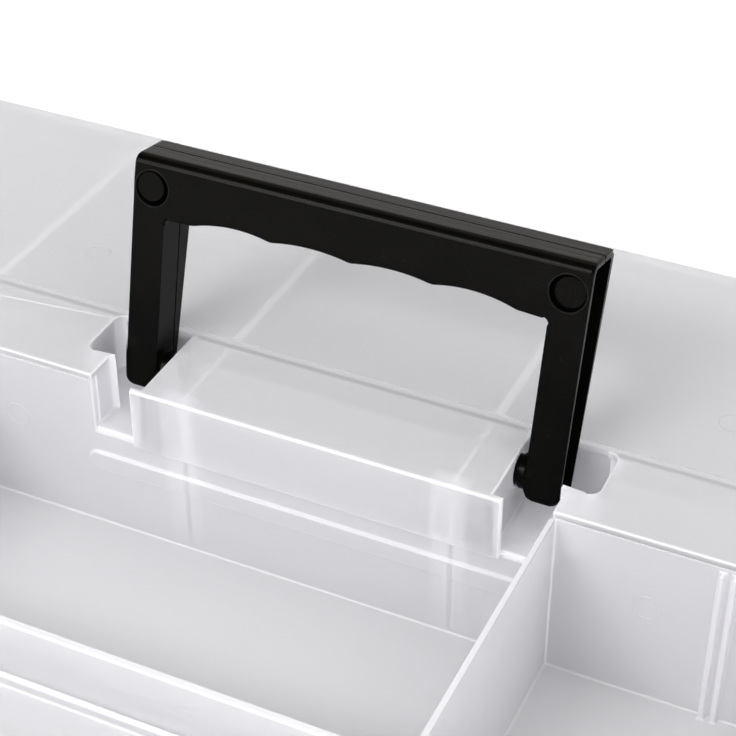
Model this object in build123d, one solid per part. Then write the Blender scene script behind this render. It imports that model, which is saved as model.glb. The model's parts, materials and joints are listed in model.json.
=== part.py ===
"""Compartment storage box: two lidded trays either side of a spine that carries a folding handle.

Millimetres. +X is to the right, +Y away from the viewer, +Z up. The origin is the middle of the
flat underside. The rear lid is closed, the front lid lies open and the handle stands up.
"""

import os

from build123d import *

# Base moulding
case_width = 368.0
case_corner_radius = 8.0
tray_depth = 82.0
spine_width = 28.0
wall_height = 48.4
wall = 1.8
floor = 2.1

# Fit between the mouldings
seat_gap = 0.3
side_gap = 0.4

# How far a cut runs past the face that it opens
cut_margin = 1.0

# Lids
lid_plate = 1.8
lid_edge_radius = 0.6
skirt_wall = 1.6
skirt_depth = 4.5

# Dividers and their guides
divider_thickness = 1.5
divider_bead = 2.4
divider_bead_height = 2.0
guide_slot = 1.8
guide_rib = 1.2
guide_reach = 1.6
guide_top_drop = 1.0
front_guide_pitch = 41.5
rear_divider_pitch = 73.0
partition_wall = 1.4
partition_lap = 0.6

# Raised strip on the front tray's inner wall
strip_drop = 24.3
strip_height = 5.3
strip_proud = 1.0

# Spine: bridge between the handle's legs, and a pocket round each leg
bridge_flare = 0.8
bridge_lip_gap = 0.4
bridge_height = 18.0
bridge_proud = 1.8
bridge_wall = 1.6
bridge_edge_radius = 0.7
pocket_side_gap = 2.4
pocket_shoulder = 7.4
pocket_shoulder_depth = 9.5
pocket_back_land = 2.0
pocket_wall = 1.4
pocket_corner_radius = 3.0
spine_rib = 1.5
spine_long_rib_back = 17.0

# Handle
handle_lean = 12.7
handle_width = 118.6
leg_width = 9.1
leg_gap = 3.2
leg_foot = 5.2
leg_foot_depth = 9.8
grip_top = 56.9
grip_top_depth = 14.8
grip_height = 15.2
grip_front_radius = 2.6
grip_back_radius = 1.6
leg_heel_radius = 2.6
leg_toe_radius = 0.8
leg_corner_radius = 2.5
finger_end_flat = 7.8
finger_depth = 1.1
finger_ridge_lift = 0.8
finger_blend = 4.0
hand_corner_radius = 1.5
channel_wall = 1.7
channel_web = 2.2
channel_rib = 1.2
channel_rib_recess = 2.2
channel_rib_count = 3
channel_rib_first = 8.3
channel_rib_pitch = 14.0
mark_radius = 3.8
mark_depth = 0.25
mark_side_inset = 4.8
mark_top_drop = 7.6
pivot_drop = 5.2
pivot_back = 17.0
pivot_pin_radius = 3.9
pivot_boss_radius = 4.4
pivot_boss_gap = 0.3
pivot_clearance = 0.06
pivot_socket_wall = 1.2
spine_rib_end_gap = 3.4

# Pan in the front lid, where the folded handle lies
pan_depth = 19.0
pan_length = 52.0
pan_wall = 1.1
pan_side_gap = 0.4
pan_swing_gap = 3.4

# Lid hinges
hinge_drop = 8.0
hinge_out = 3.2
hinge_pin_radius = 1.25
hinge_pin_clearance = 0.05
knuckle_radius = 2.8
knuckle_length = 10.0
knuckle_gap = 0.4
knuckle_count = 5
knuckle_web_drop = 8.4
hinge_inset = 44.0
front_lid_open = 180.0

# Turn latches
latch_inset = 39.0
latch_plate = 2.2
latch_width = 13.0
latch_length = 38.0
latch_grip_height = 4.0
latch_grip_width = 3.6
latch_grip_length = 22.0
latch_grip_edge_cut = 0.6
latch_pin_radius = 3.0
latch_pin_clearance = 0.08
latch_collar_radius = 4.2
latch_collar_height = 1.6

# Places worked out from the sizes above
half_width = case_width / 2
half_spine = spine_width / 2
tray_outer = half_spine + tray_depth
tray_inner = tray_outer - wall
case_inner = half_width - wall
lid_underside = wall_height + seat_gap
top = lid_underside + lid_plate
lid_half_width = half_width + side_gap + skirt_wall
lid_outer = tray_outer + side_gap + skirt_wall
lid_inner = half_spine + seat_gap
hinge_y = tray_outer + hinge_out
hinge_z = top - hinge_drop
cover_plate = top - wall_height
pocket_floor = top - bridge_height
pocket_depth = spine_width - pocket_back_land
spine_inner = half_spine - wall
hinge_place = half_width - hinge_inset
latch_place = half_width - latch_inset
leg_inner = handle_width / 2 - leg_width
half_bridge = leg_inner - leg_gap
finger_pitch = (leg_inner - finger_end_flat) / 2
pocket_outer = handle_width / 2 + pocket_side_gap
pocket_width = pocket_outer - half_bridge
socket_inner = half_bridge - bridge_wall - pivot_socket_wall
pivot_y = pivot_back - half_spine
pivot_z = top - pivot_drop
leg_front = leg_foot_depth / 2
partition_x = pocket_outer - partition_lap + partition_wall / 2
front_divider_places = (-3.5 * front_guide_pitch, -2.5 * front_guide_pitch, 3.5 * front_guide_pitch)
front_guide_places = front_divider_places + (2.5 * front_guide_pitch,)
rear_divider_places = tuple(rear_divider_pitch * step for step in (-1.5, -0.5, 0.5, 1.5))


def block(x0, x1, y0, y1, z0, z1):
    """A box between two corners."""
    centre = Pos((x0 + x1) / 2, (y0 + y1) / 2, (z0 + z1) / 2)
    return centre * Box(x1 - x0, y1 - y0, z1 - z0)


def rod(radius, x0, x1, y, z):
    """A round bar along X."""
    return Pos((x0 + x1) / 2, y, z) * Rot(0, 90, 0) * Cylinder(radius, x1 - x0)


def rounded_block(half_x, half_y, radius, z0, z1):
    """A centred slab with round vertical corners."""
    outline = RectangleRounded(2 * half_x, 2 * half_y, radius)
    return Pos(0, 0, z0) * extrude(outline, z1 - z0)


def mirrored(piece, plane=Plane.YZ):
    """A piece and its mirror image, as one."""
    return piece + mirror(piece, plane)


def divider_guide(x, wall_y, toward):
    """Two ribs on a wall face at wall_y that hold a divider's end. toward is +1 or -1 along Y."""
    y0, y1 = sorted((wall_y, wall_y + toward * guide_reach))
    inner = guide_slot / 2
    outer = inner + guide_rib
    rib_top = wall_height - guide_top_drop
    ribs = block(x - outer, x - inner, y0, y1, floor, rib_top)
    return ribs + block(x + inner, x + outer, y0, y1, floor, rib_top)


def knuckle_span(index):
    """Where one hinge knuckle starts and ends along X, for the right-hand hinge."""
    pitch = knuckle_length + knuckle_gap
    start = hinge_place - (knuckle_count * pitch - knuckle_gap) / 2
    return start + index * pitch, start + index * pitch + knuckle_length


def pin_bore(x0, x1):
    """Clearance hole for a hinge pin, run out past both ends of a knuckle."""
    radius = hinge_pin_radius + hinge_pin_clearance
    return rod(radius, x0 - cut_margin, x1 + cut_margin, hinge_y, hinge_z)


def base_knuckles():
    """The base's share of the rear hinge knuckles, on both sides."""
    knuckles = []
    for index in range(0, knuckle_count, 2):
        x0, x1 = knuckle_span(index)
        barrel = rod(knuckle_radius, x0, x1, hinge_y, hinge_z)
        gusset = Plane.YZ * Polygon(
            (tray_outer - wall / 2, hinge_z - knuckle_web_drop),
            (hinge_y, hinge_z - knuckle_radius),
            (hinge_y, hinge_z + knuckle_radius),
            (tray_outer - wall / 2, hinge_z + knuckle_radius),
            align=None,
        )
        web = Pos(x0, 0, 0) * extrude(gusset, x1 - x0)
        knuckles.append(barrel + web - pin_bore(x0, x1))
    return mirrored(knuckles[0] + knuckles[1:])


def base_tray():
    """One piece of translucent plastic: floor, outer walls, inner walls, partition and guides."""
    body = rounded_block(half_width, tray_outer, case_corner_radius, 0, wall_height)
    hollow_corner = case_corner_radius - wall
    body -= rounded_block(case_inner, tray_inner, hollow_corner, floor, wall_height + cut_margin)
    for side in (-1, 1):
        y0, y1 = sorted((side * half_spine, side * (half_spine - wall)))
        body += block(-case_inner - wall / 2, case_inner + wall / 2, y0, y1, floor, wall_height)
    body -= handle_window()
    body += block(
        partition_x - partition_wall / 2, partition_x + partition_wall / 2,
        -tray_inner - wall / 2, -half_spine, floor, wall_height,
    )
    body += wall_strip()
    for x in front_guide_places:
        body += divider_guide(x, -half_spine, -1)
        body += divider_guide(x, -tray_inner, 1)
    for x in rear_divider_places:
        body += divider_guide(x, half_spine, 1)
        body += divider_guide(x, tray_inner, -1)
    body += spine_ribs()
    knuckles = base_knuckles()
    return body + knuckles + mirror(knuckles, Plane.XZ)


def handle_window():
    """The gap in the front inner wall that the handle's legs swing through."""
    return block(
        -pocket_outer, pocket_outer, -half_spine - cut_margin, -spine_inner + cut_margin,
        pocket_floor, wall_height + cut_margin,
    )


def wall_strip():
    """A flat raised strip across the front inner wall, with round ends."""
    left = -pocket_outer - strip_height / 2
    right = partition_x
    strip_top = top - strip_drop
    middle_z = strip_top - strip_height / 2
    strip = block(
        left + strip_height / 2, right, -half_spine - strip_proud, -half_spine,
        strip_top - strip_height, strip_top,
    )
    end = Pos(left + strip_height / 2, -half_spine - strip_proud / 2, middle_z) * Rot(90, 0, 0)
    return strip + end * Cylinder(strip_height / 2, strip_proud)


def spine_ribs():
    """Stiffening ribs inside the spine: cross ribs, and a long one that dips under the pockets."""
    rib_top = wall_height - seat_gap
    ribs = None
    for x in rear_divider_places:
        cross = block(x - spine_rib / 2, x + spine_rib / 2, -spine_inner, spine_inner, floor, rib_top)
        ribs = cross if ribs is None else ribs + cross
    long_y = spine_long_rib_back - half_spine
    reach = latch_place - latch_length / 2
    low_top = pocket_floor - seat_gap
    ribs += block(-reach, reach, long_y, long_y + spine_rib, floor, low_top)
    pocket_end = pocket_outer + pocket_shoulder + pocket_wall + side_gap
    ribs += mirrored(block(pocket_end, reach, long_y, long_y + spine_rib, floor, rib_top))
    rib_end = socket_inner - spine_rib_end_gap
    return ribs + block(-rib_end, rib_end, long_y, long_y + spine_rib, floor, rib_top)


def pocket_outline(grow):
    """Plan of the right-hand pocket, wider behind a shoulder, grown by grow on its outer sides."""
    shoulder_y = -half_spine + pocket_shoulder_depth
    front = Pos(half_bridge, -half_spine) * RectangleRounded(
        2 * (pocket_width + grow), 2 * (pocket_shoulder_depth + grow), pocket_wall + grow,
    )
    back_width = pocket_width + pocket_shoulder + grow
    back_depth = pocket_depth - pocket_shoulder_depth + 2 * grow
    back = Pos(half_bridge, shoulder_y - grow + back_depth / 2) * RectangleRounded(
        2 * back_width, back_depth, pocket_corner_radius + grow,
    )
    kept = Pos(half_bridge - bridge_wall, -half_spine) * Rectangle(
        half_width, spine_width, align=(Align.MIN, Align.MIN),
    )
    return (front + back) & kept


def bridge_section(inset, lift):
    """The bridge seen from the front, wider at its foot. An inset makes it its own hollow."""
    foot = half_bridge + bridge_flare - inset
    crown = half_bridge - inset
    high = top - lift
    return Plane.XZ * Polygon(
        (-foot, pocket_floor - 2 * inset), (foot, pocket_floor - 2 * inset),
        (crown, high), (-crown, high), align=None,
    )


def bridge():
    """The hollow block between the handle's legs. Its front wall reaches past both its ends."""
    front = half_spine + bridge_proud
    length = front + spine_inner - seat_gap
    outer = Pos(0, -front, 0) * extrude(bridge_section(0, 0), -length)
    half_lip = leg_inner - bridge_lip_gap
    outer += block(-half_lip, half_lip, -front, -half_spine, pocket_floor, top)
    edges = outer.edges().filter_by(Axis.X).group_by(Axis.Y)[0].group_by(Axis.Z)[-1]
    outer = fillet(edges, bridge_edge_radius)
    hollow = extrude(bridge_section(bridge_wall, cover_plate), -length)
    return outer - Pos(0, -front + bridge_wall, 0) * hollow


def cover_plate_slab():
    """The flat top of the spine with its end skirts."""
    slab = block(-lid_half_width, lid_half_width, -half_spine, half_spine, wall_height, top)
    skirt = block(
        half_width + side_gap, lid_half_width, -half_spine, half_spine, top - skirt_depth, top,
    )
    return slab + mirrored(skirt)


def pivot_socket():
    """Thick ring inside the bridge's right-hand end, where a handle pin turns."""
    ring = pivot_pin_radius + pivot_socket_wall
    return rod(ring, socket_inner, half_bridge, pivot_y, pivot_z)


def pivot_bore():
    """The hole that a handle pin turns in."""
    start = socket_inner - cut_margin
    end = half_bridge + bridge_flare + cut_margin
    return rod(pivot_pin_radius + pivot_clearance, start, end, pivot_y, pivot_z)


def spine_cover():
    """The strip over the spine: plate, bridge and two open pockets for the handle's legs."""
    tub = Pos(0, 0, pocket_floor) * extrude(pocket_outline(pocket_wall), top - pocket_floor)
    tub -= base_wall_zone()
    space = Pos(0, 0, pocket_floor + pocket_wall) * extrude(pocket_outline(0), bridge_height)
    cover = cover_plate_slab() + mirrored(tub) - mirrored(space)
    cover += bridge() + mirrored(pivot_socket())
    cover -= mirrored(pivot_bore())
    return cover - mirrored(latch_hole())


def base_wall_zone():
    """Room for the base's inner walls: the front one beside the window, and the rear one."""
    front = block(
        pocket_outer, pocket_outer + 2 * pocket_wall,
        -half_spine - cut_margin, -spine_inner + seat_gap, 0, wall_height,
    )
    return front + block(0, half_width, spine_inner - seat_gap, half_spine, 0, wall_height)


def latch_hole():
    """Round hole in the cover's plate for the right-hand latch."""
    radius = latch_pin_radius + latch_pin_clearance
    return Pos(latch_place, 0, top) * Cylinder(radius, 2 * (cover_plate + cut_margin))


def lid_knuckles():
    """The lid's share of the rear hinge knuckles, hung from the skirt, on both sides."""
    knuckles = []
    for index in range(1, knuckle_count, 2):
        x0, x1 = knuckle_span(index)
        barrel = rod(knuckle_radius, x0, x1, hinge_y, hinge_z)
        web = Plane.YZ * Polygon(
            (lid_outer - skirt_wall, hinge_z),
            (hinge_y + knuckle_radius, hinge_z),
            (lid_outer, top - skirt_depth + skirt_wall),
            (lid_outer, top - lid_plate),
            (lid_outer - skirt_wall, top - lid_plate),
            align=None,
        )
        arm = Pos(x0, 0, 0) * extrude(web, x1 - x0)
        knuckles.append(barrel + arm - pin_bore(x0, x1))
    return mirrored(knuckles[0] + knuckles[1:])


def plain_lid():
    """A rear lid, closed: plate with a skirt on its three outer sides."""
    corner = case_corner_radius + side_gap + skirt_wall
    outer = rounded_block(lid_half_width, lid_outer, corner, top - skirt_depth, top)
    inner_corner = case_corner_radius + side_gap
    inner = rounded_block(
        half_width + side_gap, tray_outer + side_gap, inner_corner, 0, lid_underside,
    )
    shell = outer - inner
    edge = shell.edges().group_by(Axis.Z)[-1]
    shell = fillet(edge, lid_edge_radius)
    shell &= block(-lid_half_width, lid_half_width, lid_inner, lid_outer, 0, top)
    return shell + lid_knuckles()


def front_lid_closed():
    """The front lid in its closed place, with the pan for the folded handle."""
    lid = mirror(plain_lid(), Plane.XZ)
    half_pan = handle_width / 2 + pan_side_gap
    pan_front = -half_spine - pan_length
    pan_back = -half_spine - pan_swing_gap
    pan_floor = top - pan_depth
    outer = block(
        -half_pan - pan_wall, half_pan + pan_wall, pan_front - pan_wall, pan_back,
        pan_floor - pan_wall, top - lid_plate / 2,
    )
    lid += outer
    return lid - block(-half_pan, half_pan, pan_front, 0, pan_floor, top + cut_margin)


def front_lid():
    """The front lid lying open, turned over its hinge."""
    axis = Axis((0, -hinge_y, hinge_z), (1, 0, 0))
    return front_lid_closed().rotate(axis, front_lid_open)


def leg_profile():
    """Side view of the handle, pivot at the origin: flat front, back that tapers to the foot."""
    back_slope = (grip_top_depth - leg_foot_depth) / (grip_top + leg_foot)
    outline = Polygon(
        (-leg_front, -leg_foot), (leg_foot_depth - leg_front, -leg_foot),
        (leg_foot_depth - leg_front + back_slope * (grip_top + leg_foot), grip_top),
        (-leg_front, grip_top), align=None,
    )
    low = outline.vertices().group_by(Axis.Y)[0].sort_by(Axis.X)
    outline = fillet(low[-1], leg_heel_radius)
    low = outline.vertices().group_by(Axis.Y)[0].sort_by(Axis.X)
    outline = fillet(low[0], leg_toe_radius)
    high = outline.vertices().group_by(Axis.Y)[-1].sort_by(Axis.X)
    outline = fillet(high[-1], grip_back_radius)
    high = outline.vertices().group_by(Axis.Y)[-1].sort_by(Axis.X)
    return fillet(high[0], grip_front_radius)


def finger_edge():
    """Lower edge of the grip from leg to leg: four finger hollows with a short flat at each end."""
    flat = grip_top - grip_height
    ridge = flat + finger_ridge_lift
    ends = [(place * finger_pitch, ridge) for place in (-1, 0, 1)]
    ends = [(-2 * finger_pitch, flat)] + ends + [(2 * finger_pitch, flat)]
    hollows = []
    for (x0, y0), (x1, y1) in zip(ends, ends[1:]):
        crown = ((x0 + x1) / 2, ridge + finger_depth)
        hollows.append(ThreePointArc((x0, y0), crown, (x1, y1)))
    return [Line((-leg_inner, flat), ends[0])] + hollows + [Line(ends[-1], (leg_inner, flat))]


def front_outline():
    """Front view of the handle, with the hand opening between its legs."""
    flat = grip_top - grip_height
    side = handle_width / 2
    below = -leg_foot
    outer = Polyline(
        (leg_inner, flat), (leg_inner, below), (side, below), (side, grip_top),
        (-side, grip_top), (-side, below), (-leg_inner, below), (-leg_inner, flat),
    )
    outline = make_face(Curve() + (finger_edge() + [outer]))
    ridges = [v for v in outline.vertices() if abs(v.X) < leg_inner - cut_margin and v.Y > 0]
    outline = fillet(ridges, finger_blend)
    corners = [v for v in outline.vertices() if abs(abs(v.X) - leg_inner) < seat_gap and v.Y > 0]
    outline = fillet(corners, hand_corner_radius)
    feet = outline.vertices().group_by(Axis.Y)[0]
    return fillet(feet, leg_corner_radius)


def leg_channel():
    """The hollow in the outer side of the right leg, with its cross ribs."""
    section = offset(leg_profile(), -channel_wall)
    start = leg_inner + channel_web
    end = handle_width / 2
    channel = Pos(start, 0, 0) * extrude(Plane.YZ * section, end - start + cut_margin)
    for index in range(channel_rib_count):
        low = channel_rib_first + index * channel_rib_pitch - channel_rib / 2
        channel -= block(
            start, end - channel_rib_recess, -grip_top_depth, grip_top_depth, low, low + channel_rib,
        )
    return channel


def pivot_pin():
    """Boss and pin on the inner side of the right leg."""
    boss_start = half_bridge + bridge_flare + pivot_boss_gap
    boss = rod(pivot_boss_radius, boss_start, leg_inner + channel_web / 2, 0, 0)
    return boss + rod(pivot_pin_radius, socket_inner, leg_inner, 0, 0)


def handle():
    """The black handle, standing in the photographed lean."""
    bar = Pos(-handle_width / 2, 0, 0) * extrude(Plane.YZ * leg_profile(), handle_width)
    bar &= extrude(Plane.XZ * front_outline(), 2 * grip_top_depth, both=True)
    bar -= mirrored(leg_channel())
    bar += mirrored(pivot_pin())
    mark = Pos(handle_width / 2 - mark_side_inset, -leg_front, grip_top - mark_top_drop)
    bar -= mirrored(mark * Rot(90, 0, 0) * Cylinder(mark_radius, 2 * mark_depth))
    return Pos(0, pivot_y, pivot_z) * Rot(-handle_lean, 0, 0) * bar


def divider(x, side):
    """A loose wall in its guides, with a thicker top edge. side is -1 for the front tray."""
    near = half_spine + seat_gap
    far = tray_inner - seat_gap
    y0, y1 = sorted((side * near, side * far))
    low = floor + seat_gap / 2
    high = wall_height - seat_gap
    plate = block(x - divider_thickness / 2, x + divider_thickness / 2, y0, y1, low, high)
    end = guide_reach + seat_gap
    bead = block(
        x - divider_bead / 2, x + divider_bead / 2, y0 + end, y1 - end, high - divider_bead_height, high,
    )
    return plate + bead


def hinge_pin(right, rear):
    """A steel pin through one hinge. right and rear are +1 or -1."""
    x0 = knuckle_span(0)[0]
    x1 = knuckle_span(knuckle_count - 1)[1]
    start, end = sorted((right * x0, right * x1))
    return rod(hinge_pin_radius, start, end, rear * hinge_y, hinge_z)


def turn_latch(right):
    """A quarter-turn latch with its wings along the spine."""
    low = top + seat_gap
    wings = Pos(0, 0, low) * extrude(SlotOverall(latch_length, latch_width), latch_plate)
    grip = extrude(SlotOverall(latch_grip_length, latch_grip_width), latch_plate + latch_grip_height)
    grip = Pos(0, 0, low) * chamfer(grip.edges().group_by(Axis.Z)[-1], latch_grip_edge_cut)
    pin_low = wall_height - seat_gap - latch_collar_height
    pin = Pos(0, 0, pin_low) * extrude(Circle(latch_pin_radius), low - pin_low)
    collar = Pos(0, 0, pin_low) * extrude(Circle(latch_collar_radius), latch_collar_height)
    return Pos(right * latch_place, 0, 0) * (wings + grip + pin + collar)


def build():
    """Every piece by name."""
    pieces = {
        "tray_base": base_tray(),
        "spine_cover": spine_cover(),
        "rear_lid": plain_lid(),
        "front_lid": front_lid(),
        "handle": handle(),
    }
    for place, x in enumerate(rear_divider_places, start=1):
        pieces[f"rear_divider_{place}"] = divider(x, 1)
    for place, x in enumerate(front_divider_places, start=1):
        pieces[f"front_divider_{place}"] = divider(x, -1)
    for end, rear in (("front", -1), ("rear", 1)):
        for hand, right in (("left", -1), ("right", 1)):
            pieces[f"{end}_hinge_pin_{hand}"] = hinge_pin(right, rear)
    for hand, right in (("left", -1), ("right", 1)):
        pieces[f"turn_latch_{hand}"] = turn_latch(right)
    return pieces


def main():
    os.makedirs("parts", exist_ok=True)
    for name, piece in build().items():
        export_step(piece, f"parts/{name}.step")


main()
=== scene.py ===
import json
import math

import bmesh
import bpy
from mathutils import Matrix, Vector

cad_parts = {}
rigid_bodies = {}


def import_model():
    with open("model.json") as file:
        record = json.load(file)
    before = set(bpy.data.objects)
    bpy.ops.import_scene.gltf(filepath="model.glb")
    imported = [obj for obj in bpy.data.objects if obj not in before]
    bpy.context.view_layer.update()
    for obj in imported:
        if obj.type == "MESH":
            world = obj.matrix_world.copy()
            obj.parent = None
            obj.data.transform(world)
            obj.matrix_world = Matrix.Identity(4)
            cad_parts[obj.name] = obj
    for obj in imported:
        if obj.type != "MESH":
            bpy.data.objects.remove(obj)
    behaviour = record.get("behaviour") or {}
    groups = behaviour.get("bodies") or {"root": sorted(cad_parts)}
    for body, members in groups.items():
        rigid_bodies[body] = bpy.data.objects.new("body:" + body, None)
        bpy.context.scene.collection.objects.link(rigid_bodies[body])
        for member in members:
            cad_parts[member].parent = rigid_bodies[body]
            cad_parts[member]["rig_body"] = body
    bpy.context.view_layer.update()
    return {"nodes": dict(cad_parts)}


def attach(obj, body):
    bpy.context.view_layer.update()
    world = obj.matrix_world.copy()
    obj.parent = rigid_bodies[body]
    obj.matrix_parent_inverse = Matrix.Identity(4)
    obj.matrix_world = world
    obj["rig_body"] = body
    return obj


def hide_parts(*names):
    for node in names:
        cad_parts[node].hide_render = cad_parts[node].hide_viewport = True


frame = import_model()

NODES = frame["nodes"]
MM = 0.001

# Edge radii of the mouldings, and the shares of them tried where a face is too narrow
SHELL_EDGE = 0.5 * MM
HANDLE_EDGE = 0.8 * MM
THIN_EDGE = 0.3 * MM
EDGE_SHARES = (1.0, 0.8, 0.5, 0.2)
EDGE_SEGMENTS = 3

# Faces that turn more than this meet at a sharp edge, and edges that turn less run on smoothly
SHARP_TURN = math.radians(35)
SMOOTH_RUN = math.radians(35)
FLAT_TURN = math.radians(0.5)

# Corners closer than this are one corner
WELD = 0.002 * MM

# How alike two normals are on one rounded form, and where no shading break shows
SAME_FORM = math.cos(math.radians(40))
SAME_SHADE = math.cos(math.radians(2))

# Faces larger than this, in square metres, shade flat
WIDE_FACE = 150 * MM * MM

# Low rings left by the mould's pins: half the bead's thickness and the ring's radius
BEAD = 0.22 * MM
BEAD_SQUASH = 0.6
RING_RADIUS = 3.3 * MM

# A sheet's edge face up to this wide is a rim: it gets a painted glow (emission) that stands in
# for the light travelling inside the sheet, and its own tint and clearness
RIM_WIDTH = 0.95 * MM
RIM_PAINTED_GLOW = 0.24
RIM_TINT = (0.95, 0.946, 0.97)
RIM_CLEAR = 0.35

# Painted glow of the same kind where ribs stand behind the wall, in the pockets, on the bridge, on
# divider tops and in the seam, over their shade
RIB_PAINTED_GLOW = 0.06
POCKET_PAINTED_GLOW = 0.07
BRIDGE_PAINTED_GLOW = 0.07
BEAD_PAINTED_GLOW = 0.3
GAP_PAINTED_GLOW = 0.1
PAINTED_GLOW_TINT = (0.97, 0.96, 1.0, 1)

# The plastics' gloss
PLASTIC_IOR = 1.49
FROSTED_GLOSS = 0.4
BLACK_GLOSS = 0.07

# The handle's own frame at rest: it leans back about its pivot
LEAN = math.radians(12.7)
PIVOT = Vector((0, 3.0, 45.3)) * MM
HANDLE_FRONT = -4.9 * MM
HANDLE_SEAM = 3.2 * MM
GRIP_TOP = 56.9 * MM

# The round marks near the grip's ends: raised middle, eccentric groove and the groove's lip
MARK = (54.5 * MM, 49.3 * MM)
MARK_RADIUS = 3.8 * MM
MARK_GROOVE = (54.0 * MM, 49.0 * MM)
MARK_GROOVE_RADIUS = 4.5 * MM
MARK_LIP = 0.35 * MM
MARK_SOFT = 0.12 * MM

# Places on the trays and lids, from the middle of the box's underside
SPINE_FRONT = -14 * MM
SPINE_INSIDE = 11.8 * MM
RIB_X = 36.5 * MM
RIB_HALF = 3.8 * MM
LONG_RIB_Y = 3.75 * MM
BRIDGE_MIDDLE = 30 * MM
POCKET_X = 58.6 * MM
POCKET_HALF = 9.5 * MM
SEAM_Y = 14 * MM
GAP_Y = 14.15 * MM
BEAD_TOP = 46 * MM
TOP = 50.5 * MM

# The photographed view, in metres and degrees
VIEW_PLACE = (0.1612, -0.3257, 0.3303)
VIEW_DOWN = 36.39
VIEW_TURN = 25.11
VIEW_LENS = 91.5
VIEW_SENSOR = 36

# Light passes many sheets of the milky plastic before it comes out
LIGHT_BOUNCES = 36
SURFACE_BOUNCES = 8

# The room's brightness at its front and back, left and right, and overhead
ROOM_FRONT, ROOM_BACK = 1.07, 1.0
ROOM_LEFT, ROOM_RIGHT = 0.54, 1.65
ROOM_OVERHEAD = 1.12

# How much darker than its walls the room's ceiling shows in gloss
CEILING_SHADE = 0.92

# The pale floor, in metres from its middle to its edge, and its glow towards the camera
FLOOR_REACH = 6.0
FLOOR_TONE = (0.81, 0.81, 0.81, 1)
FLOOR_GLOW = 0.1

# Where both lamps aim
LAMP_TARGET = (0, 0, 0.05)


def node_tree(name):
    """A new material with an empty node tree, its output and its main shader."""
    material = bpy.data.materials.new(name)
    material.use_nodes = True
    tree = material.node_tree
    tree.nodes.clear()
    output = tree.nodes.new("ShaderNodeOutputMaterial")
    shader = tree.nodes.new("ShaderNodeBsdfPrincipled")
    tree.links.new(shader.outputs["BSDF"], output.inputs["Surface"])
    return material, tree, shader


def object_place(tree, stretch=(1, 1, 1)):
    """Object coordinates, squeezed along an axis where a pattern is stretched."""
    place = tree.nodes.new("ShaderNodeTexCoord")
    mapping = tree.nodes.new("ShaderNodeMapping")
    mapping.inputs["Scale"].default_value = stretch
    tree.links.new(place.outputs["Object"], mapping.inputs["Vector"])
    return mapping.outputs["Vector"]


def noise(tree, place, cell, detail=3.0, roughness=0.5):
    """Noise whose cells are about that size in metres."""
    texture = tree.nodes.new("ShaderNodeTexNoise")
    texture.inputs["Scale"].default_value = 1 / cell
    texture.inputs["Detail"].default_value = detail
    texture.inputs["Roughness"].default_value = roughness
    tree.links.new(place, texture.inputs["Vector"])
    return texture.outputs["Fac"]


def ramp(tree, value, low, high, low_to, high_to):
    """A value remapped between two levels."""
    node = tree.nodes.new("ShaderNodeMapRange")
    node.inputs["From Min"].default_value = low
    node.inputs["From Max"].default_value = high
    node.inputs["To Min"].default_value = low_to
    node.inputs["To Max"].default_value = high_to
    tree.links.new(value, node.inputs["Value"])
    return node.outputs["Result"]


def colour_mix(tree, share, first, second):
    """Two colours mixed by a value."""
    node = tree.nodes.new("ShaderNodeMix")
    node.data_type = "RGBA"
    node.inputs["A"].default_value = (*first, 1)
    node.inputs["B"].default_value = (*second, 1)
    tree.links.new(share, node.inputs["Factor"])
    return node.outputs["Result"]


def maths(tree, operation, first, second=None):
    """A maths node on a value and another value or a number."""
    node = tree.nodes.new("ShaderNodeMath")
    node.operation = operation
    tree.links.new(first, node.inputs[0])
    if isinstance(second, (int, float)):
        node.inputs[1].default_value = second
    elif second is not None:
        tree.links.new(second, node.inputs[1])
    return node.outputs[0]


def product(tree, first, second):
    """Two values multiplied."""
    return maths(tree, "MULTIPLY", first, second)


def total(tree, first, second):
    """Two values added."""
    return maths(tree, "ADD", first, second)


def apart(tree, value, level):
    """How far a value is from a level, either way."""
    return maths(tree, "ABSOLUTE", maths(tree, "SUBTRACT", value, level))


def axes(tree, place):
    """The three coordinates of a place."""
    split = tree.nodes.new("ShaderNodeSeparateXYZ")
    tree.links.new(place, split.inputs[0])
    return split.outputs[0], split.outputs[1], split.outputs[2]


def band(tree, value, middle, half_width, soft):
    """1 within half_width of a level, fading to 0 over a soft margin."""
    return ramp(tree, apart(tree, value, middle), half_width, half_width + soft, 1, 0)


def disc(tree, across, up, centre, radius, soft):
    """1 inside a circle in a plane, fading to 0 over a soft margin."""
    dx = maths(tree, "SUBTRACT", across, centre[0])
    dy = maths(tree, "SUBTRACT", up, centre[1])
    away = maths(tree, "SQRT", total(tree, product(tree, dx, dx), product(tree, dy, dy)))
    return ramp(tree, away, radius - soft, radius + soft, 1, 0)


def bump(tree, height, depth, shader, below=None):
    """Relief of that depth in metres on a shader."""
    node = tree.nodes.new("ShaderNodeBump")
    node.inputs["Strength"].default_value = 1.0
    node.inputs["Distance"].default_value = depth
    tree.links.new(height, node.inputs["Height"])
    if below is not None:
        tree.links.new(below, node.inputs["Normal"])
    tree.links.new(node.outputs["Normal"], shader.inputs["Normal"])
    return node.outputs["Normal"]


def painted_pocket_glow(tree, across, back, up, facing, pocket_glow):
    """Painted glow in the spine cover's pockets below its top, over their shade, and on the
    bridge's front face.
    """
    side = maths(tree, "ABSOLUTE", across)
    low = ramp(tree, up, TOP - 4 * MM, TOP - 0.5 * MM, pocket_glow, 0)
    beside = band(tree, side, POCKET_X, POCKET_HALF, 1.0 * MM)
    pockets = product(tree, low, beside)
    face = ramp(tree, back, SPINE_FRONT - 0.9 * MM, SPINE_FRONT - 0.4 * MM, BRIDGE_PAINTED_GLOW, 0)
    bridge = product(tree, band(tree, side, 0.0, BRIDGE_MIDDLE, 8 * MM), face)
    return total(tree, pockets, product(tree, bridge, ramp(tree, facing, 0.5, 0.9, 1, 0)))


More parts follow.
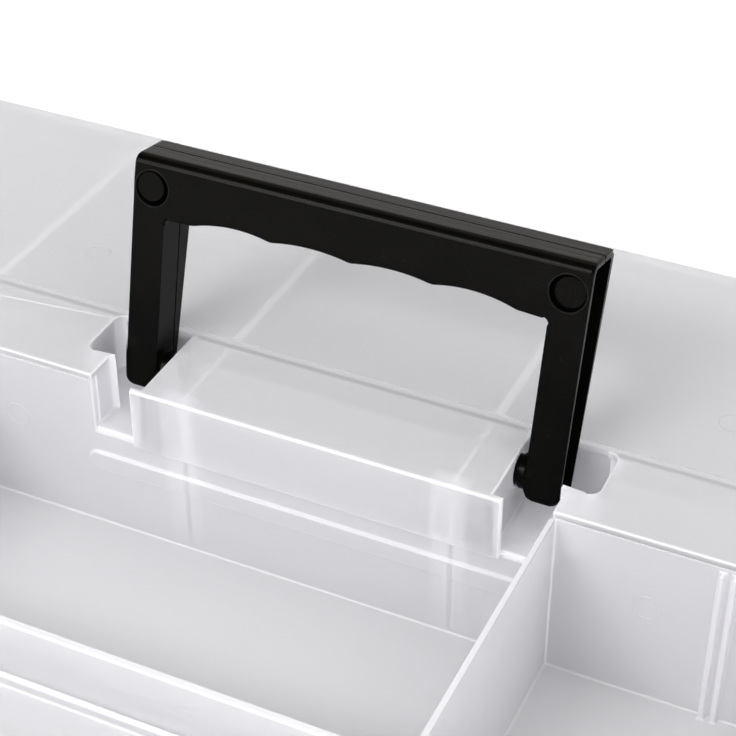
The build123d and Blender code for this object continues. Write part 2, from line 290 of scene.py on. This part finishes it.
def painted_bead_glow(tree, back, up, facing, bead_glow, spine_only):
    """Painted glow on upward-facing upper edges seen from above, or only on the cross ribs inside
    the spine.
    """
    upper = ramp(tree, up, BEAD_TOP, BEAD_TOP + 0.5 * MM, 0, 1)
    beads = product(tree, ramp(tree, facing, 0.7, 0.9, 0, bead_glow), upper)
    if spine_only:
        beads = product(tree, beads, band(tree, back, 0.0, SPINE_INSIDE, 0.3 * MM))
        off_rib = ramp(tree, apart(tree, back, LONG_RIB_Y), 1.0 * MM, 1.3 * MM, 0, 1)
        beads = product(tree, beads, off_rib)
    return beads


def painted_sheet_glow(tree, rim, place, pocket_glow, bead_glow, spine_only):
    """Painted glow (emission) on the sheets' edges, ribs, pockets and seam, standing in for light
    let out of the plastic.
    """
    across, back, up = axes(tree, place)
    ribs = band(tree, maths(tree, "ABSOLUTE", across), RIB_X, RIB_HALF, 1.5 * MM)
    wall = band(tree, back, SPINE_FRONT, 2.5 * MM, 1.0 * MM)
    height = ramp(tree, up, 4 * MM, 34 * MM, 0.1, 1.0)
    # Painted light bands on the spine's front wall where the ribs stand behind it, fainter towards
    # the bottom
    painted_rib_bands = product(tree, product(tree, ribs, wall), height)
    facing = axes(tree, tree.nodes.new("ShaderNodeTexCoord").outputs["Normal"])[2]
    # Painted glow on the rims, strongest on those facing down
    painted_rim_glow = product(tree, rim, ramp(tree, facing, -0.6, 0.3, RIM_PAINTED_GLOW, 0))
    glow = total(tree, painted_rim_glow, product(tree, painted_rib_bands, RIB_PAINTED_GLOW))
    if pocket_glow:
        glow = total(tree, glow, painted_pocket_glow(tree, across, back, up, facing, pocket_glow))
    if bead_glow:
        glow = total(tree, glow, painted_bead_glow(tree, back, up, facing, bead_glow, spine_only))
    # Painted glow in the seam between the cover and the rear lid, over its shade
    below_top = ramp(tree, up, TOP - 3 * MM, TOP - 2 * MM, 0, GAP_PAINTED_GLOW)
    painted_seam_glow = product(tree, band(tree, back, GAP_Y, 0.3 * MM, 0.1 * MM), below_top)
    return total(tree, glow, product(tree, painted_seam_glow, ramp(tree, facing, 0.3, 0.6, 1, 0)))


def frosted_plastic(name, cool, warm, clear, pocket_glow=0.0, bead_glow=0.0, spine_only=False):
    """Milky polypropylene: faint tint clouds, moulding flow, fine grain, and painted glow on sheet
    edges, ribs and the seam, and where given in pockets and on divider tops.
    """
    material, tree, shader = node_tree(name)
    place = object_place(tree)
    mark = tree.nodes.new("ShaderNodeAttribute")
    mark.attribute_name = "rim"
    rim = mark.outputs["Fac"]
    clouds = ramp(tree, noise(tree, place, 60 * MM, 2.0), 0.35, 0.65, 0, 1)
    body = colour_mix(tree, clouds, cool, warm)
    tint = colour_mix(tree, rim, cool, RIM_TINT)
    tree.links.new(body, tint.node.inputs["A"])
    tree.links.new(tint, shader.inputs["Base Color"])
    # Painted glow: emission on the rims, rib bands, seam, and where given the pockets, bridge and
    # divider tops
    glow = painted_sheet_glow(tree, rim, place, pocket_glow, bead_glow, spine_only)
    shader.inputs["Emission Color"].default_value = PAINTED_GLOW_TINT
    tree.links.new(glow, shader.inputs["Emission Strength"])
    rubbed = noise(tree, place, 14 * MM, 5.0, 0.6)
    tree.links.new(ramp(tree, rubbed, 0.3, 0.7, 0.30, 0.41), shader.inputs["Roughness"])
    see_through = ramp(tree, rim, 0, 1, clear, RIM_CLEAR)
    tree.links.new(see_through, shader.inputs["Transmission Weight"])
    shader.inputs["IOR"].default_value = PLASTIC_IOR
    shader.inputs["Specular IOR Level"].default_value = FROSTED_GLOSS
    ripples = noise(tree, object_place(tree, (1, 3, 1)), 22 * MM, 1.0)
    flow = bump(tree, ripples, 0.25 * MM, shader)
    bump(tree, noise(tree, place, 0.5 * MM, 2.0), 0.012 * MM, shader, flow)
    return material


def handle_place(tree):
    """Coordinates in the handle's own frame: across, front to back, and up from the pivot."""
    mapping = tree.nodes.new("ShaderNodeMapping")
    turn = Matrix.Rotation(LEAN, 3, "X")
    mapping.inputs["Rotation"].default_value = (LEAN, 0, 0)
    mapping.inputs["Location"].default_value = -(turn @ PIVOT)
    tree.links.new(object_place(tree), mapping.inputs["Vector"])
    return mapping.outputs["Vector"]


def mark_groove(tree):
    """The round marks' eccentric grooves and their lips, and the seam round the handle."""
    across, depth, up = axes(tree, handle_place(tree))
    side = maths(tree, "ABSOLUTE", across)
    front = band(tree, depth, HANDLE_FRONT, 0.35 * MM, 0.1 * MM)
    wide = disc(tree, side, up, MARK_GROOVE, MARK_GROOVE_RADIUS, MARK_SOFT)
    core = disc(tree, side, up, MARK, MARK_RADIUS, 0.1 * MM)
    lip = disc(tree, side, up, MARK_GROOVE, MARK_GROOVE_RADIUS + MARK_LIP, MARK_SOFT)
    groove = product(tree, front, maths(tree, "SUBTRACT", wide, product(tree, wide, core)))
    raised = product(tree, front, maths(tree, "SUBTRACT", lip, wide))
    seam = band(tree, depth, HANDLE_SEAM, 0.2 * MM, 0.1 * MM)
    return groove, raised, seam


def satin_black(name):
    """Black polypropylene with a spark-eroded grain, drag streaks, a slightly greyed rub, painted
    sheen on the grip's top, painted highlights on the marks' lips and painted shade in their
    grooves and the seam.
    """
    material, tree, shader = node_tree(name)
    place = object_place(tree)
    rub = ramp(tree, noise(tree, place, 9 * MM, 5.0, 0.62), 0.45, 0.75, 0, 1)
    plain = colour_mix(tree, rub, (0.0014, 0.0014, 0.0012), (0.0026, 0.0026, 0.0022))
    groove, raised, seam = mark_groove(tree)
    streaks = noise(tree, object_place(tree, (0.04, 1, 1)), 1.3 * MM, 4.0, 0.6)
    # The grip's top face: a lighter, warmer base in streaks is painted sheen of the lit top; the
    # streaks also drag its roughness and relief
    height = ramp(tree, axes(tree, handle_place(tree))[2], GRIP_TOP - 0.5 * MM, GRIP_TOP, 0, 1)
    painted_sheen_share = product(tree, height, ramp(tree, streaks, 0.3, 0.7, 0.5, 1.0))
    painted_sheen_colour = colour_mix(tree, painted_sheen_share, (0, 0, 0), (0.016, 0.0135, 0.0100))
    tree.links.new(plain, painted_sheen_colour.node.inputs["A"])
    # Painted highlight: the lips round the marks' grooves are lighter
    lip_painted_highlight = colour_mix(tree, raised, (0, 0, 0), (0.014, 0.0135, 0.0125))
    tree.links.new(painted_sheen_colour, lip_painted_highlight.node.inputs["A"])
    # Painted shade: the grooves and the seam are darker and lose their gloss
    painted_groove_shade = maths(tree, "MAXIMUM", groove, seam)
    colour = colour_mix(tree, painted_groove_shade, (0, 0, 0), (0.0006, 0.0006, 0.0006))
    tree.links.new(lip_painted_highlight, colour.node.inputs["A"])
    tree.links.new(colour, shader.inputs["Base Color"])
    tree.links.new(ramp(tree, painted_groove_shade, 0, 1, BLACK_GLOSS, 0), shader.inputs["Specular IOR Level"])
    shader.inputs["Specular Tint"].default_value = (1.0, 0.97, 0.91, 1)
    dragged = product(tree, height, ramp(tree, streaks, 0.3, 0.7, -1, 1))
    tree.links.new(ramp(tree, dragged, -1, 1, 0.21, 0.31), shader.inputs["Roughness"])
    shader.inputs["IOR"].default_value = PLASTIC_IOR
    relief = maths(tree, "SUBTRACT", raised, total(tree, groove, seam))
    marks = bump(tree, relief, 0.15 * MM, shader)
    drag = bump(tree, dragged, 0.015 * MM, shader, marks)
    bump(tree, noise(tree, place, 0.35 * MM, 2.0), 0.01 * MM, shader, drag)
    return material


def drawn_steel(name):
    """Drawn wire: bright, with fine lines along its length."""
    material, tree, shader = node_tree(name)
    lines = noise(tree, object_place(tree, (0.02, 1, 1)), 0.15 * MM, 2.0)
    colour = colour_mix(tree, lines, (0.50, 0.50, 0.51), (0.62, 0.62, 0.63))
    tree.links.new(colour, shader.inputs["Base Color"])
    tree.links.new(ramp(tree, lines, 0.3, 0.7, 0.26, 0.4), shader.inputs["Roughness"])
    shader.inputs["Metallic"].default_value = 1.0
    bump(tree, lines, 0.01 * MM, shader)
    return material


def new_piece(name, bm):
    """A new object in the scene that takes over a finished shape."""
    mesh = bpy.data.meshes.new(name)
    bm.to_mesh(mesh)
    bm.free()
    piece = bpy.data.objects.new(name, mesh)
    bpy.context.scene.collection.objects.link(piece)
    return piece


def sharp_edges(bm):
    """Edges where two faces meet at a clear corner."""
    return [e for e in bm.edges if len(e.link_faces) == 2 and e.calc_face_angle(0) > SHARP_TURN]


def room_beside(edge):
    """How far the faces and edges beside an edge reach from it, apart from its smooth runs on."""
    start, end = edge.verts[0].co, edge.verts[1].co
    length = edge.calc_length()
    along = (end - start) / max(length, WELD)
    reaches = [0.0] if length < WELD else []
    for face in edge.link_faces:
        for corner in face.verts:
            span = corner.co - start
            reach = span.dot(along)
            away = (span - along * reach).length
            if corner not in edge.verts and max(-reach, reach - length, 0) < away:
                reaches.append(away)
    for corner in edge.verts:
        for other in corner.link_edges:
            span = other.other_vert(corner).co - corner.co
            if other is not edge and min(span.angle(along, 0), span.angle(-along, 0)) > SMOOTH_RUN:
                reaches.append(span.length)
    return min(reaches, default=0)


def in_seam(edge):
    """Whether an edge lies in the flush seam between the spine's cover and the rear lid."""
    return all(abs(v.co.y - SEAM_Y) < 0.5 * MM and v.co.z > TOP - 2.5 * MM for v in edge.verts)


def round_edges(bm, radius):
    """Rounds each sharp edge by the largest share of the radius that its faces have room for."""
    for share in EDGE_SHARES:
        reach = radius * share
        edges = [e for e in sharp_edges(bm) if room_beside(e) > 2.1 * reach and not in_seam(e)]
        if edges:
            bmesh.ops.bevel(
                bm, geom=edges, offset=reach, offset_type="OFFSET", segments=EDGE_SEGMENTS,
                profile=0.5, affect="EDGES", clamp_overlap=False, material=-1,
            )


def mark_rims(bm):
    """Marks the narrow faces of a shell, where the sheet is seen edge on."""
    rims = bm.faces.layers.float.new("rim")
    for face in bm.faces:
        width = 2 * face.calc_area() / max(face.calc_perimeter(), WELD)
        face[rims] = 1.0 if width < RIM_WIDTH else 0.0


def cut_wide_faces(bm):
    """Cuts the faces with more than four corners, and lists every whole face's normal and area."""
    numbers = bm.faces.layers.int.new("whole")
    bm.normal_update()
    wholes = []
    for face in bm.faces:
        face[numbers] = len(wholes)
        wholes.append((face.normal.copy(), face.calc_area()))
    wide = [f for f in bm.faces if len(f.verts) > 4]
    bmesh.ops.triangulate(bm, faces=wide, quad_method="BEAUTY", ngon_method="BEAUTY")
    return wholes


def split_shading(mesh, normals):
    """Marks the edges sharp where the faces beside them keep different corner normals."""
    first = {}
    for face in mesh.polygons:
        loops = list(face.loop_indices)
        for here, after in zip(loops, loops[1:] + loops[:1]):
            edge = mesh.loops[here].edge_index
            ends = {mesh.loops[loop].vertex_index: normals[loop] for loop in (here, after)}
            beside = first.setdefault(edge, ends)
            if any(beside[corner].dot(ends[corner]) < SAME_SHADE for corner in ends):
                mesh.edges[edge].use_edge_sharp = True


def shade_evenly(mesh, wholes):
    """Corner normals that follow the wide faces, so that only the rounded edges shade round."""
    mesh.shade_smooth()
    whole_of = [number.value for number in mesh.attributes["whole"].data]
    around = [set() for _ in mesh.vertices]
    for face in mesh.polygons:
        for corner in face.vertices:
            around[corner].add(whole_of[face.index])
    normals = []
    for face in mesh.polygons:
        own, size = wholes[whole_of[face.index]]
        face.use_smooth = size < WIDE_FACE
        for corner in face.vertices:
            if not face.use_smooth:
                normals.append(own)
                continue
            near = [wholes[n] for n in around[corner] if wholes[n][0].dot(own) > SAME_FORM]
            blend = sum((normal * area for normal, area in near), Vector())
            normals.append(blend.normalized())
    split_shading(mesh, normals)
    mesh.normals_split_custom_set(normals)
    mesh.attributes.remove(mesh.attributes["whole"])


def reach_of(bm):
    """The lowest and highest place of a shape along each axis."""
    spans = []
    for axis in range(3):
        places = [v.co[axis] for v in bm.verts]
        spans.append((min(places), max(places)))
    return spans


def moulded(node, material, radius):
    """A rounded, smooth-shaded piece that stands for a CAD node."""
    source = NODES[node]
    bm = bmesh.new()
    bm.from_mesh(source.data)
    bmesh.ops.remove_doubles(bm, verts=bm.verts, dist=WELD)
    bmesh.ops.dissolve_limit(
        bm, angle_limit=FLAT_TURN, use_dissolve_boundaries=False,
        verts=bm.verts, edges=bm.edges, delimit=set(),
    )
    reach = reach_of(bm)
    round_edges(bm, radius)
    for corner in bm.verts:
        corner.co = [min(max(value, low), high) for value, (low, high) in zip(corner.co, reach)]
    bmesh.ops.remove_doubles(bm, verts=bm.verts, dist=WELD)
    bmesh.ops.dissolve_degenerate(bm, edges=bm.edges, dist=WELD)
    mark_rims(bm)
    wholes = cut_wide_faces(bm)
    piece = new_piece(node + "_moulded", bm)
    shade_evenly(piece.data, wholes)
    piece.data.materials.append(material)
    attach(piece, source["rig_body"])
    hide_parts(node)
    return piece


def ring_mark(name, node, material, centre, axis):
    """A low ring left by the mould, on a face with that outward axis. The centre is in mm."""
    bm = bmesh.new()
    bmesh.ops.create_circle(bm, cap_ends=False, radius=BEAD, segments=8)
    bmesh.ops.rotate(bm, verts=bm.verts, matrix=Matrix.Rotation(math.pi / 2, 3, "X"))
    bmesh.ops.translate(bm, verts=bm.verts, vec=(RING_RADIUS, 0, 0))
    bmesh.ops.spin(
        bm, geom=bm.verts[:] + bm.edges[:], cent=(0, 0, 0), axis=(0, 0, 1),
        dvec=(0, 0, 0), angle=math.tau, steps=48, use_merge=True, use_duplicate=False,
    )
    bmesh.ops.remove_doubles(bm, verts=bm.verts, dist=WELD)
    bmesh.ops.scale(bm, verts=bm.verts, vec=(1, 1, BEAD_SQUASH))
    turn = Vector((0, 0, 1)).rotation_difference(Vector(axis)).to_matrix()
    bmesh.ops.rotate(bm, verts=bm.verts, matrix=turn)
    bmesh.ops.translate(bm, verts=bm.verts, vec=Vector(centre) * MM)
    bmesh.ops.recalc_face_normals(bm, faces=bm.faces)
    piece = new_piece(name, bm)
    piece.data.shade_smooth()
    piece.data.materials.append(material)
    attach(piece, NODES[node]["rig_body"])


def dress_nodes():
    """Every CAD node gets a rounded stand-in with its finish."""
    tray = frosted_plastic(
        "frosted_tray", (0.938, 0.936, 0.958), (0.944, 0.938, 0.958), 0.43,
        bead_glow=BEAD_PAINTED_GLOW, spine_only=True,
    )
    lid = frosted_plastic("frosted_lid", (0.958, 0.956, 0.973), (0.963, 0.957, 0.975), 0.6)
    divider = frosted_plastic("frosted_divider", (0.95, 0.948, 0.968), (0.955, 0.949, 0.968), 0.45)
    rear_divider = frosted_plastic(
        "frosted_rear_divider", (0.95, 0.948, 0.968), (0.955, 0.949, 0.968), 0.45,
        bead_glow=BEAD_PAINTED_GLOW,
    )
    cover = frosted_plastic(
        "frosted_cover", (0.965, 0.962, 0.982), (0.968, 0.963, 0.98), 0.6,
        pocket_glow=POCKET_PAINTED_GLOW,
    )
    black = satin_black("satin_black")
    steel = drawn_steel("drawn_steel")
    for hand, side in (("left", -1), ("right", 1)):
        ring_mark(
            f"wall_mark_{hand}", "tray_base", tray, (side * 86, -14, 30), (0, -1, 0),
        )
        ring_mark(
            f"lid_mark_{hand}", "rear_lid", lid, (side * 89.8, 35.3, 50.5), (0, 0, 1),
        )
    for node in NODES:
        if node == "handle":
            moulded(node, black, HANDLE_EDGE)
        elif node.startswith("turn_latch"):
            moulded(node, black, THIN_EDGE)
        elif "hinge_pin" in node:
            moulded(node, steel, THIN_EDGE)
        elif node.startswith("rear_divider"):
            moulded(node, rear_divider, THIN_EDGE)
        elif "divider" in node:
            moulded(node, divider, THIN_EDGE)
        elif node == "spine_cover":
            moulded(node, cover, SHELL_EDGE)
        elif node == "tray_base":
            moulded(node, tray, SHELL_EDGE)
        else:
            moulded(node, lid, SHELL_EDGE)


def camera():
    """The photographed view: a long lens, from the front and the right, looking down."""
    data = bpy.data.cameras.new("camera")
    data.sensor_width = VIEW_SENSOR
    data.lens = VIEW_LENS
    data.clip_start = 0.01
    data.clip_end = 20
    view = bpy.data.objects.new("camera", data)
    bpy.context.scene.collection.objects.link(view)
    view.location = VIEW_PLACE
    view.rotation_euler = (math.radians(90 - VIEW_DOWN), 0, math.radians(VIEW_TURN))
    bpy.context.scene.camera = view


def softbox(name, place, width, height, radiance, gloss_only=False):
    """A rectangular soft light aimed at the box, where gloss_only it shows in gloss alone."""
    data = bpy.data.lights.new(name, "AREA")
    data.shape = "RECTANGLE"
    data.size = width
    data.size_y = height
    data.energy = radiance * math.pi * width * height
    lamp = bpy.data.objects.new(name, data)
    bpy.context.scene.collection.objects.link(lamp)
    lamp.location = place
    lamp.visible_diffuse = lamp.visible_transmission = not gloss_only
    aim = Vector(LAMP_TARGET) - Vector(place)
    lamp.rotation_euler = aim.to_track_quat("-Z", "Y").to_euler()


def seen_directly(tree):
    """1 for what the camera sees directly, in gloss or through clear plastic, otherwise 0."""
    path = tree.nodes.new("ShaderNodeLightPath").outputs
    seen = maths(tree, "MAXIMUM", path["Is Camera Ray"], path["Is Glossy Ray"])
    return maths(tree, "MAXIMUM", seen, path["Is Transmission Ray"])


def floor():
    """A wide pale floor."""
    bm = bmesh.new()
    bmesh.ops.create_grid(bm, x_segments=1, y_segments=1, size=FLOOR_REACH)
    piece = new_piece("floor", bm)
    material, tree, shader = node_tree("pale_floor")
    shader.inputs["Base Color"].default_value = FLOOR_TONE
    shader.inputs["Roughness"].default_value = 0.8
    shader.inputs["Specular IOR Level"].default_value = 0.1
    shader.inputs["Emission Color"].default_value = (1, 1, 1, 1)
    glow = product(tree, seen_directly(tree), FLOOR_GLOW)
    tree.links.new(glow, shader.inputs["Emission Strength"])
    piece.data.materials.append(material)


def studio():
    """A pale room, brighter at the right, with a softbox and a lamp for gloss in front of it."""
    world = bpy.data.worlds.new("studio")
    bpy.context.scene.world = world
    world.use_nodes = True
    tree = world.node_tree
    tree.nodes.clear()
    output = tree.nodes.new("ShaderNodeOutputWorld")
    light = tree.nodes.new("ShaderNodeBackground")
    tree.links.new(light.outputs["Background"], output.inputs["Surface"])
    light.inputs["Color"].default_value = (1, 1, 1, 1)
    place = tree.nodes.new("ShaderNodeTexCoord").outputs["Generated"]
    across, back, up = axes(tree, place)
    front = ramp(tree, back, -0.9, 0.9, ROOM_FRONT, ROOM_BACK)
    side = product(tree, front, ramp(tree, across, -1.0, 1.0, ROOM_LEFT, ROOM_RIGHT))
    fall = product(tree, side, ramp(tree, up, 0.2, 1.0, 1.0, ROOM_OVERHEAD))
    pick = tree.nodes.new("ShaderNodeMix")
    tree.links.new(seen_directly(tree), pick.inputs["Factor"])
    tree.links.new(fall, pick.inputs["A"])
    gloss = tree.nodes.new("ShaderNodeLightPath").outputs["Is Glossy Ray"]
    ceiling = product(tree, gloss, ramp(tree, up, 0.05, 0.45, 0.0, CEILING_SHADE))
    backdrop = total(tree, product(tree, ceiling, -1.0), 1.0)
    tree.links.new(backdrop, pick.inputs["B"])
    tree.links.new(pick.outputs["Result"], light.inputs["Strength"])
    softbox("front_softbox", (-0.5, -1.1, 1.15), 0.8, 0.24, 18.0)
    softbox("edge_light", (-0.66, -1.4, 0.72), 0.6, 0.36, 14.0, gloss_only=True)


bpy.context.scene.view_settings.view_transform = "Standard"
bpy.context.scene.cycles.max_bounces = LIGHT_BOUNCES
bpy.context.scene.cycles.transmission_bounces = LIGHT_BOUNCES
bpy.context.scene.cycles.diffuse_bounces = SURFACE_BOUNCES
bpy.context.scene.cycles.glossy_bounces = SURFACE_BOUNCES
dress_nodes()
camera()
floor()
studio()
